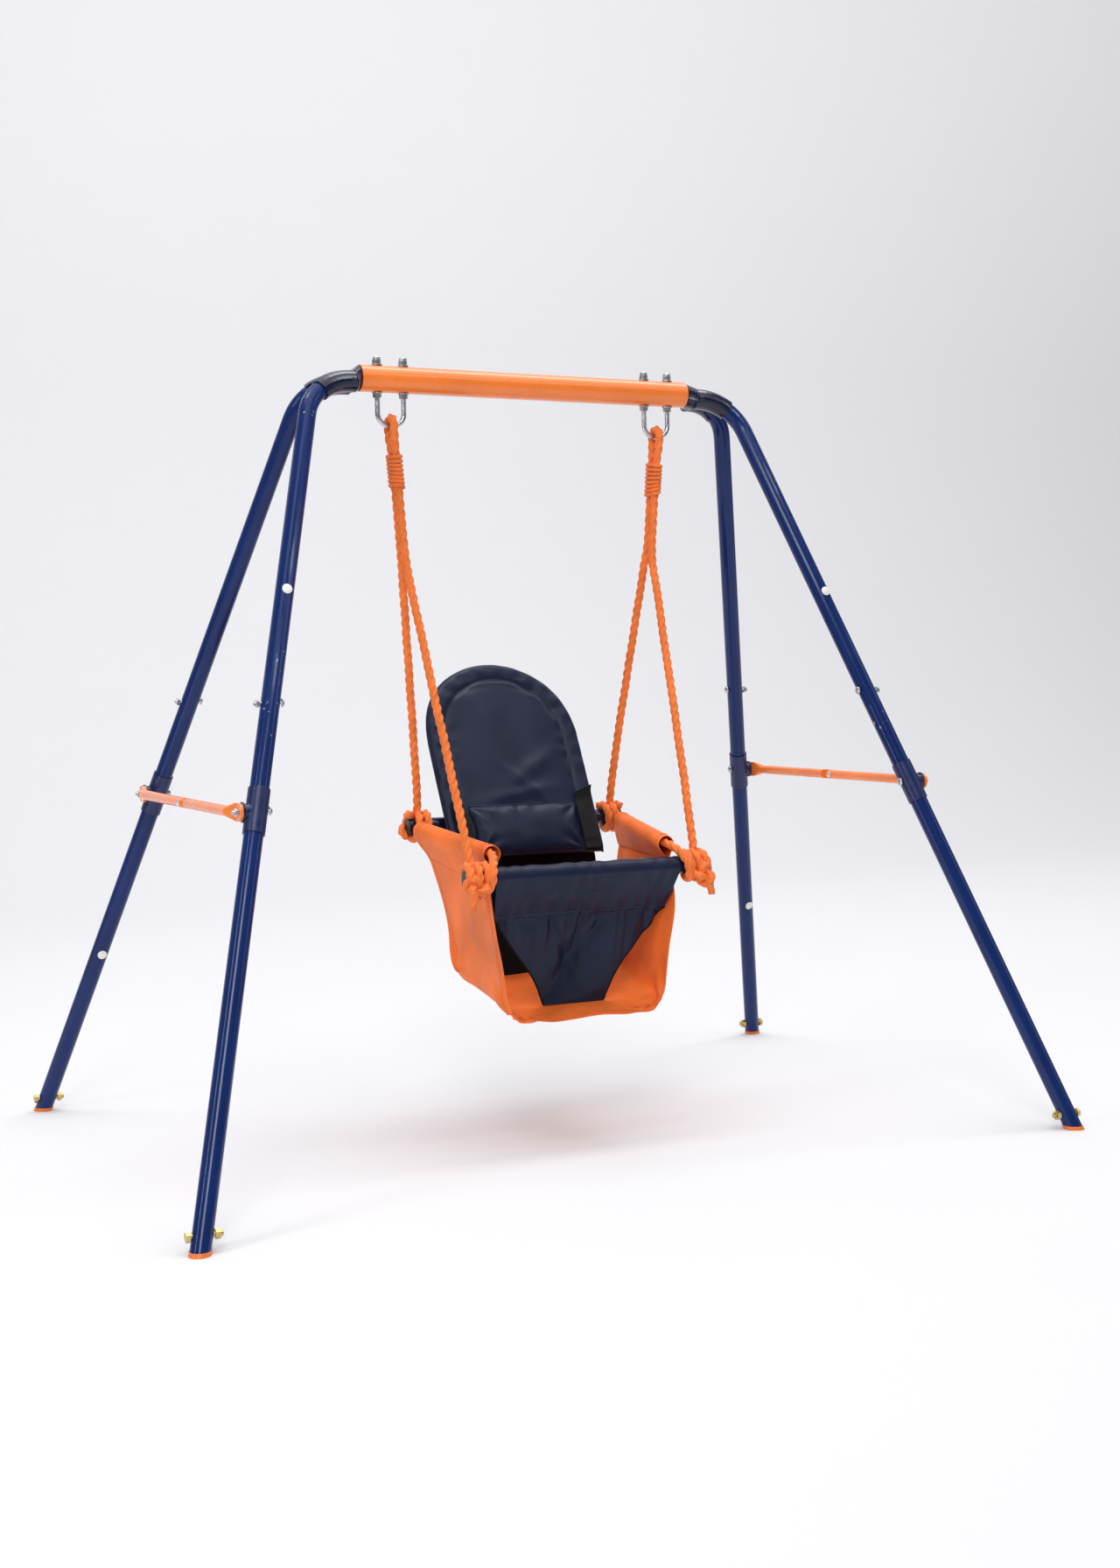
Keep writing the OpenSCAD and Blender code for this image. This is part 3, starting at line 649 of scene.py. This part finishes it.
def sling_seam(name, line, normals, parts):
    """The same seam on both faces of the cloth."""
    for sign in (1, -1):
        normal = [n * sign for n in normals]
        lifted = [p + n * CLOTH * 0.5 for p, n in zip(line, normal)]
        parts.append(stitches("%s_%d" % (name, sign), lifted, normal, "orange_thread"))


def make_sling():
    half_rows = sling_half_rows()
    rows = []
    for i, half in enumerate(half_rows):
        v = i / SLING_ROWS
        moved = {LEFT: [], RIGHT: []}
        for side in (RIGHT, LEFT):
            for j, p in enumerate(half):
                q = half[min(j + 1, len(half) - 1)] - half[max(j - 1, 0)]
                along = half_rows[min(i + 1, SLING_ROWS)][j] - half_rows[max(i - 1, 0)][j]
                out = q.cross(along).normalized()
                here = Vector((side * p.x, p.y, p.z))
                fade = min(1.0, max(0.0, (1 - j / len(half)) * 4.15 - 0.9))
                off = sling_fold(here, fade)
                if j < 26:
                    off += 2.5 * (1 - (j / 26) ** 2) * math.sin(math.pi * v)
                off += 2.0 * math.sin(0.045 * here.x + 0.03 * p.z + 1.0) * bell(v, 0.08) * fade
                at = p + out * off
                moved[side].append(Vector((side * at.x, at.y, at.z)) * MM)
        rows.append(moved[LEFT][::-1] + moved[RIGHT][1:])
    cloth = surface("sling_cloth", rows, "orange_canvas", CLOTH, ("side_sling",), 1)
    parts = []
    span = len(rows[0])
    inner = slice(6, span - 6)
    for name, i in (("front", 3), ("front_b", 5), ("rear", SLING_ROWS - 3), ("rear_b", SLING_ROWS - 5)):
        sling_seam("sling_seam_" + name, rows[i][inner], row_normals(rows, i)[inner], parts)
    columns = list(zip(*rows))
    for j in (SLING_HEM, span - 1 - SLING_HEM):
        sling_seam("sling_hem_seam_%d" % j, columns[j], row_normals(columns, j), parts)


make_sling()


# ---------------------------------------------------------------- front panel
PANEL_HEM = 15.4
BAND_PATH = [(-161.5, 361), (-171, 388), (-175.2, 414)]
PANEL_PATH = [(-203.4, 419), (-185, 389), (-166, 360)]
PANEL_LOW = [(-158, 335), (-147.5, 302), (-141, 262), (-138, 232), (-137, 215)]
PANEL_SEAM_Z = 361
# height and half-width of the panel below the band's seam
PANEL_EDGE = [
    (361, 151.5), (357, 144), (348, 140), (335, 131), (318, 118), (302, 105),
    (285, 91), (270, 79), (255, 69.5), (240, 62), (226, 56.5), (215, 53),
]
# folds below the seam: place, slope, width and height
PANEL_FOLDS = ((-58, 0.62, 8, 7.4), (20, -0.42, 10, 8.0), (56, -0.80, 8, 6.0), (-16, 0.15, 9, 5.6))


def panel_half(z):
    if z >= PANEL_SEAM_Z:
        return lerp(151, 160.5, min(1, (z - PANEL_SEAM_Z) / 66))
    for (z1, w1), (z2, w2) in zip(PANEL_EDGE, PANEL_EDGE[1:]):
        if z >= z2:
            return lerp(w1, w2, (z1 - z) / (z1 - z2))
    return PANEL_EDGE[-1][1]


def panel_gather(x, z):
    """Gathers below the band's seam, and soft diagonal folds lower down."""
    below = max(0.0, PANEL_SEAM_Z - z)
    gathers = math.sin(x * 0.19 + 2.0 * math.sin(x * 0.043 + 0.6)) + 0.45 * math.sin(x * 0.37 + 1.0)
    out = 3.3 * gathers * math.exp(-below / 55) * min(1, below / 8 + 0.15)
    out += 8.0 * rippled((x * 0.016 + below * 0.010, 0.0, below * 0.010), 1.0, 5.5) * min(1, below / 30)
    for x0, slope, wide, high in PANEL_FOLDS:
        aside = x - x0 - slope * below
        out += high * bell(aside, wide + 0.06 * below) * min(1, below / 26) * math.exp(-below / 130)
    out *= min(1, (z - 212) / 18) if z < 230 else 1
    if z > PANEL_SEAM_Z:
        out += 1.7 * math.sin(x * 0.21 + 1.3 * math.sin(x * 0.06)) * math.exp(-(z - PANEL_SEAM_Z) / 20)
        out += 2.6 * rippled((x * 0.017, 0, z * 0.02), 1.0, 2.2)
    return out


def facing(normals, toward):
    """The normals, turned over where their middle one doesn't point along Y as `toward` does."""
    if normals[len(normals) // 2].y * toward < 0:
        return [-n for n in normals]
    return normals


def ring_round(bar, radius, degrees):
    """Y and Z of points round a seat bar."""
    return [(bar[0] + radius * math.cos(math.radians(a)), bar[1] + radius * math.sin(math.radians(a)))
        for a in degrees]


def cloth_seam(name, line, normals, lift, slot, *sizes):
    lifted = [p + n * lift for p, n in zip(line, normals)]
    return stitches(name, lifted, normals, slot, *sizes)


PANEL_ACROSS = 88               # steps across the panel
BAND_BACK = 8                   # rows of the band behind the bar


def make_panel():
    arc = ring_round(FRONT_BAR, PANEL_HEM, range(-12, 212, 14))
    path = [Vector((0, y, z)) for y, z in BAND_PATH + arc + PANEL_PATH[1:] + PANEL_LOW]
    line = smooth_line(path, 3.4)
    seam = min(range(len(line) // 2, len(line)), key=lambda k: abs(line[k].z - PANEL_SEAM_Z))
    rows = []
    for i, p in enumerate(line):
        ahead = line[min(i + 1, len(line) - 1)] - line[max(i - 1, 0)]
        out = Vector((0, ahead.z, -ahead.y)).normalized()
        half = panel_half(p.z if i > seam else max(p.z, PANEL_SEAM_Z))
        sign = 1 if i > BAND_BACK else -1
        row = []
        for j in range(PANEL_ACROSS + 1):
            x = (2 * j / PANEL_ACROSS - 1) * half
            if BAND_BACK < i < seam - 14:
                off = 0.8 * math.sin(x * 0.17 + 2 * math.sin(x * 0.05)) + 0.3
            elif i >= max(BAND_BACK, seam - 12):
                off = panel_gather(x, p.z)
            else:
                off = 0.0
            row.append((p + Vector((x, 0, 0)) - out * off * sign) * MM)
        rows.append(row)
    cloth = surface("front_panel_cloth", rows, "navy_nylon", 1.5 * MM, ("front_panel",), 1)
    for k, i in enumerate((seam - 1, seam + 1)):
        normals = facing(row_normals(rows, i), -1)
        cloth_seam("panel_seam_%d" % k, rows[i], normals, 0.9 * MM, "navy_thread",
            4.2 * MM, 1.8 * MM, 0.75 * MM)
    columns = list(zip(*rows[seam:]))
    for j, word in ((0, "left"), (PANEL_ACROSS, "right")):
        tube = sweep(even(list(columns[j]), 3 * MM), lambda i, a: 1.7 * MM, 8)
        place("panel_piping_" + word, *tube, "black_fabric")
    for j, word in ((4, "left"), (PANEL_ACROSS - 4, "right")):
        normals = facing(row_normals(columns, j), -1)
        cloth_seam("panel_edge_seam_" + word, columns[j], normals, 0.9 * MM, "navy_thread",
            3.2 * MM, 1.8 * MM)
    hem = sweep(even(list(rows[-1]), 3 * MM), lambda i, a: 1.5 * MM, 8)
    place("panel_foot_hem", *hem, "navy_nylon")


make_panel()


# ---------------------------------------------------------------- backrest
RECLINE = math.radians(27.4)
BACK_OFF = -(13 + 2.8 + 9)
BACK_HALF = 137.0
BACK_LOW, BACK_TOP = -76.0, 280.0
BACK_ROUND = BACK_TOP - BACK_HALF       # height where the straight sides turn into the round top
BORDER = 30.0
BACK_STITCH = (3.4 * MM, 1.8 * MM, 0.55 * MM)


def on_back(x, y, z):
    """A point given in mm on the backrest's own plane, put in the row frame in metres."""
    y += BACK_OFF
    return Vector((x, REAR_BAR[0] + y * math.cos(RECLINE) + z * math.sin(RECLINE),
        REAR_BAR[1] - y * math.sin(RECLINE) + z * math.cos(RECLINE))) * MM


def back_half_width(z):
    if z <= BACK_ROUND:
        return BACK_HALF - 2.5 * ((BACK_ROUND - z) / 220) ** 2
    rise = (z - BACK_ROUND) / BACK_HALF
    return BACK_HALF * math.sqrt(max(0.0, 1 - rise ** 2.25)) if rise < 1 else 0.0


def edge_distance(x, z):
    if z <= BACK_ROUND:
        return min(BACK_HALF - abs(x), z - BACK_LOW)
    return BACK_HALF - math.hypot(x, z - BACK_ROUND)


def back_height(x, z, front):
    """How far the padded backrest stands off its middle plane, in mm."""
    d = max(0.0, edge_distance(x, z))
    rim = min(1.0, d / 8.0)
    body = 3.0 + 5.6 * math.sqrt(max(0.0, 1 - (1 - rim) ** 2))
    if d <= 0:
        body = 2.2
    if not front:
        groove = 1.8 * bell(d - BORDER, 3.6) * min(1, max(0.0, (z - 8) / 20)) + 1.2 * bell(z - 34, 3.4)
        soft = 2.2 * rippled((x * 0.013, 3.0, z * 0.011), 1.0, 12.4) * min(1, d / 20)
        return -(body - 0.4) - 1.8 * bell(x, 90) * bell(z - 130, 110) - soft + groove
    seam = 2.9 * bell(d - BORDER, 3.6)
    crown = 3.4 * min(1, max(0.0, (d - BORDER) / 60)) if d > BORDER else 1.6 * math.sin(math.pi * d / BORDER)
    folds = 0.0
    if d > BORDER - 6:
        fade = min(1, (d - BORDER + 6) / 24)
        folds += 5.0 * math.exp(-((z - 62 - 0.55 * x) / 17) ** 2) * bell(x - 36, 46)
        folds += 4.0 * math.exp(-((z - 66 + 0.95 * x) / 12) ** 2) * bell(x - 18, 40)
        folds += 3.4 * math.exp(-((z - 34 - 0.15 * x) / 10) ** 2) * bell(x, 70)
        folds += 2.6 * math.exp(-((z - 120 + 1.6 * x) / 26) ** 2) * bell(x + 10, 40)
        folds += 4.0 * rippled((x * 0.014, 0, z * 0.010), 1.0, 4.4)
        folds *= fade
    pull = 0.9 * math.sin(z * 0.19 + 1.4 * math.sin(z * 0.05)) * bell(d - BORDER, 14)
    pull *= 1 if z > -20 else 0.3
    pull += 0.8 * math.sin(math.atan2(z - BACK_ROUND, x) * 26) * bell(d - 12, 12)
    return body + crown + folds + pull - seam


def make_backrest():
    rows_f, rows_b = [], []
    up, across = 96, 76
    for i in range(up + 1):
        t = i / up
        z = BACK_LOW + (BACK_TOP - BACK_LOW - 0.4) * math.sin(t * math.pi / 2) ** 0.92
        half = max(back_half_width(z), 2.0)
        front_row, back_row = [], []
        for j in range(across + 1):
            x = half * math.sin((2 * j / across - 1) * math.pi / 2)
            rim = j in (0, across) or i in (0, up)
            front_row.append(on_back(x, 0.0 if rim else -back_height(x, z, True), z))
            back_row.append(on_back(x, 0.0 if rim else -back_height(x, z, False), z))
        rows_f.append(front_row)
        rows_b.append(back_row)
    cols = across + 1
    verts = [p for r in rows_f for p in r] + [p for r in rows_b for p in r]
    base = len(rows_f) * cols
    faces = grid_faces(len(rows_f), cols)
    faces += [tuple(reversed(f)) for f in grid_faces(len(rows_b), cols, start=base)]
    pad = place("backrest_cushion", verts, faces, "navy_nylon")
    weld = pad.modifiers.new("weld", "WELD")
    weld.merge_threshold = 0.00005
    sub = pad.modifiers.new("smooth", "SUBSURF")
    sub.levels = sub.render_levels = 1
    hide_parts("backrest_pad", "backrest_board")
    low = [(-BACK_HALF, z) for z in range(-74, 142, 6)]
    top = []
    for degrees in range(0, 361, 3):
        a = math.radians(180 - degrees / 2)
        top.append((BACK_HALF * math.cos(a), BACK_ROUND + BACK_HALF * math.sin(a)))
    line = low + top + [(-x, z) for x, z in reversed(low)]
    edge = []
    for x, z in line:
        x_edge = math.copysign(back_half_width(z), x) if z <= BACK_ROUND else x * 0.995
        edge.append(on_back(x_edge, 0, z))
    tube = sweep(even(edge, 3 * MM), lambda i, a: 2.0 * MM, 8)
    place("backrest_piping", *tube, "navy_nylon")
    share = (BACK_HALF - BORDER) / BACK_HALF
    inner = []
    for x, z in line:
        if z <= BACK_ROUND:
            inner.append((math.copysign(BACK_HALF - BORDER, x), z))
        else:
            inner.append((x * share, BACK_ROUND + (z - BACK_ROUND) * share))
    behind = Vector((0, math.cos(RECLINE), -math.sin(RECLINE)))
    pts = [on_back(x, -back_height(x, z, True) - 0.2, z) for x, z in inner if z >= -64]
    stitches("backrest_seam_0", pts, [-behind] * len(pts), "navy_thread", *BACK_STITCH)
    pts = [on_back(x, -back_height(x, z, False) + 0.2, z) for x, z in inner if z > 10]
    stitches("backrest_rear_seam", pts, [behind] * len(pts), "navy_thread", *BACK_STITCH)
    pts = [on_back(x, -back_height(x, 34, False) + 0.2, 34) for x in range(-126, 127, 4)]
    stitches("backrest_rear_yoke", pts, [behind] * len(pts), "navy_thread", *BACK_STITCH)


make_backrest()


# ---------------------------------------------------------------- lumbar pad
def make_lumbar():
    """A pillow on the backrest's foot, sewn flat at its top edge and creased at its corners."""
    w, low, high = 97.0, -74.0, 14.0
    front, back = [], []
    n, m = 60, 34
    for i in range(m + 1):
        t = i / m
        z = lerp(low, high, t)
        f_row, b_row = [], []
        for j in range(n + 1):
            u = 2 * j / n - 1
            pinch = 1 - 0.045 * math.sin(math.pi * t) ** 2
            x = u * w * pinch
            du = (1 - abs(u)) * w
            dz = min(t, 1 - t) * (high - low)
            puff = 15.0 * math.sqrt(max(0, 1 - (1 - min(1, du / 30)) ** 2)) ** 1.1
            puff *= math.sqrt(max(0, 1 - (1 - min(1, dz / 34)) ** 2))
            for cx, cz in ((w, high), (w, low)):
                a = math.atan2(z - cz, abs(x) - cx)
                r = math.hypot(z - cz, abs(x) - cx)
                puff += 2.2 * math.sin(a * 9 + 0.7) * bell(r - 24, 20) * min(1, du / 8) * min(1, dz / 6)
            gathers = math.sin(x * 0.16 + 1.8 * math.sin(x * 0.05 + 1))
            puff += 1.7 * gathers * bell(high - z, 16) * min(1, dz / 5)
            puff += 1.6 * rippled((x * 0.03, 0, z * 0.04), 1.0, 6.1) * min(1, dz / 10)
            zz = z - (2.0 * (1 - u * u) if i == 0 else 0)
            f_row.append(on_back(x, -12.0 - max(0.3, puff), zz))
            b_row.append(on_back(x, -11.6, zz))
        front.append(f_row)
        back.append(b_row)
    cols = n + 1
    verts = [p for r in front for p in r] + [p for r in back for p in r]
    base = (m + 1) * cols
    faces = grid_faces(m + 1, cols)
    faces += [tuple(reversed(f)) for f in grid_faces(m + 1, cols, start=base)]
    rim = [j for j in range(cols)] + [i * cols + n for i in range(1, m + 1)]
    rim += [m * cols + j for j in range(n - 1, -1, -1)] + [i * cols for i in range(m - 1, 0, -1)]
    for a, b in zip(rim, rim[1:] + rim[:1]):
        faces.append((b, a, base + a, base + b))
    pad = place("lumbar_cushion", verts, faces, "navy_nylon")
    sub = pad.modifiers.new("smooth", "SUBSURF")
    sub.levels = sub.render_levels = 1
    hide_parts("lumbar_pad")
    for k, z in enumerate((high, low)):
        edge = [on_back(x, -12.4, z) for x in range(-97, 98, 3)]
        tube = sweep(edge, lambda i, a: 1.8 * MM, 8)
        place("lumbar_piping_%d" % k, *tube, "navy_nylon")


make_lumbar()


# ---------------------------------------------------------------- back panel and straps
# half-width of the back panel, and distance up it
BACK_PANEL = [
    (104, -13), (106, 0), (118, 20), (130, 40), (131, 90), (131, 140), (130, 184), (116, 198), (97, 205),
]
CASING_HALF, CASING_R = 96.0, 14.5


def make_back_panel():
    rows = []
    tilt = math.radians(9.5)
    steps = 44
    for i in range(steps + 1):
        s = -13 + 218 * i / steps
        for (w1, s1), (w2, s2) in zip(BACK_PANEL, BACK_PANEL[1:]):
            if s1 <= s <= s2:
                half = lerp(w1, w2, (s - s1) / (s2 - s1))
        row = []
        for j in range(49):
            x = half * (2 * j / 48 - 1)
            sag = 3.0 * math.sin(math.pi * i / steps) * (1 - (x / half) ** 2)
            fold = 1.6 * rippled((x * 0.018, 0, s * 0.015), 1.0, 9.2) + 1.2 * math.sin(x * 0.09) * bell(s, 40)
            off = sag + fold * math.sin(math.pi * min(1, i / steps + 0.12))
            row.append(Vector((x, 10 + s * math.sin(tilt) + off * math.cos(tilt),
                252 + s * math.cos(tilt) - off * math.sin(tilt))) * MM)
        rows.append(row)
    for y, z in ring_round(REAR_BAR, CASING_R, range(205, 532, 12)):
        rows.append([Vector((CASING_HALF * (2 * j / 48 - 1), y, z)) * MM for j in range(49)])
    cloth = surface("back_panel_cloth", rows, "black_fabric", 1.5 * MM, ("seat_back_panel",), 1)
    columns = list(zip(*rows[:steps + 1]))
    for j, word in ((0, "left"), (48, "right")):
        tube = sweep(even(list(columns[j]), 3 * MM), lambda i, a: 1.9 * MM, 8)
        place("back_panel_piping_" + word, *tube, "black_webbing")
    for word, line, normal in (
        ("foot", rows[3], row_normals(rows, 3)), ("yoke", rows[steps - 3], row_normals(rows, steps - 3)),
        ("mid", columns[24], row_normals(columns, 24)), ("left", columns[2], row_normals(columns, 2)),
        ("right", columns[46], row_normals(columns, 46)),
    ):
        cloth_seam("back_panel_seam_" + word, line, facing(normal, 1), 0.8 * MM, "seam_thread",
            3.6 * MM, 2.0 * MM, 0.55 * MM)


STRAP_X, STRAP_W = 112.0, 27.0
STRAP_FREE = 0.62            # share of the strap below its loose end
STRAP_SPLAY, STRAP_SKEW = 3.0, 6.0


def back_strap_off(z):
    return 12.6 + (4.5 if -60 < z < 10 else 2.0) * 0.6


def make_straps():
    for side, word in SIDES:
        path = [(-back_strap_off(z), z) for z in range(-72, 12, 6)]
        path += [(-14.6, 18), (-17.5, 27), (-21.5, 35)] if side == RIGHT else [(-14.2, 16), (-14.6, 22)]
        line = smooth_line([on_back(0, y, z) for y, z in path], 3 * MM)
        rows = []
        for i, p in enumerate(line):
            k = max(0.0, i / (len(line) - 1) - STRAP_FREE) / (1 - STRAP_FREE)
            rows.append([p + Vector((side * (STRAP_X + STRAP_W / 2 * u + STRAP_SPLAY * k), -3.0 * k * u,
                0.35 * (1 - u * u) + STRAP_SKEW * k * u)) * MM for u in (-1, -0.96, -0.5, 0, 0.5, 0.96, 1)])
        rows.insert(-1, [a.lerp(b, 0.9) for a, b in zip(rows[-2], rows[-1])])
        strap = surface("strap_front_" + word, rows, "black_webbing", 1.8 * MM, ("webbing_straps",), 1)
        rows = []
        across = [side * (STRAP_X + STRAP_W / 2 * u) for u in (-1, -0.5, 0, 0.5, 1)]
        for y, z in ring_round(REAR_BAR, 14.4, range(0, 361, 12)):
            rows.append([Vector((x, y, z)) * MM for x in across])
        ring = surface("strap_loop_" + word, rows, "black_webbing", 1.6 * MM, ("webbing_straps",), 0)


make_back_panel()
make_straps()


# ---------------------------------------------------------------- hardware finish
for item in frame["record"]["subparts"]:
    obj = frame["nodes"].get(item["node"])
    if obj is None:
        continue
    material = MATERIALS[item["material_slot"]]
    obj.data.materials.clear()
    obj.data.materials.append(material)


# ---------------------------------------------------------------- studio
def plain(name, color, roughness):
    n = Nodes(name, color, roughness)
    n.color(n.noise(3.0, 2.0), [(0.3, shade(color, 0.995)), (0.7, color)])
    return n.mat


def make_studio():
    profile = [(-14, 0), (3.2, 0)]
    for k in range(1, 13):
        a = math.radians(90 * k / 12)
        profile.append((3.2 + 2.2 * math.sin(a), 2.2 - 2.2 * math.cos(a)))
    profile.append((5.4, 9))
    verts = [(x, y, z) for y, z in profile for x in (-12, 12)]
    mesh = bpy.data.meshes.new("sweep")
    mesh.from_pydata(verts, [], grid_faces(len(profile), 2))
    mesh.polygons.foreach_set("use_smooth", [True] * len(mesh.polygons))
    mesh.materials.append(plain("studio_floor", (0.80, 0.80, 0.82), 0.9))
    floor = bpy.data.objects.new("studio_floor", mesh)
    bpy.context.scene.collection.objects.link(floor)
    world = bpy.data.worlds.new("studio")
    bpy.context.scene.world = world
    world.use_nodes = True
    world.node_tree.nodes["Background"].inputs["Color"].default_value = (0.95, 0.96, 1.0, 1)
    world.node_tree.nodes["Background"].inputs["Strength"].default_value = 0.20
    for name, place_at, aim, size, power in (
        ("key", (-2.0, -3.8, 3.2), (0, 0, 0.6), (1.5, 1.5), 62),
        ("fill", (3.8, -2.2, 2.2), (0, 0, 0.6), (1.2, 2.0), 8),
        ("top", (0.0, -0.2, 5.2), (0, -0.2, 0), (6.0, 6.0), 175),
        ("bar_strip", (0.3, -1.9, 2.6), (0, 0, 1.1), (3.4, 0.08), 9),
        ("leg_strip", (-2.7, -0.9, 1.3), (0, 0, 0.7), (0.10, 2.6), 15),
        ("wall", (3.2, 0.4, 6.6), (3.2, 5.4, 2.0), (12.0, 1.6), 330),
    ):
        data = bpy.data.lights.new(name, "AREA")
        data.shape = "RECTANGLE"
        data.size, data.size_y = size
        data.energy = power
        light = bpy.data.objects.new(name, data)
        light.location = place_at
        light.rotation_euler = (Vector(aim) - Vector(place_at)).to_track_quat("-Z", "Y").to_euler()
        bpy.context.scene.collection.objects.link(light)
    bpy.context.scene.view_settings.view_transform = "Standard"


make_studio()
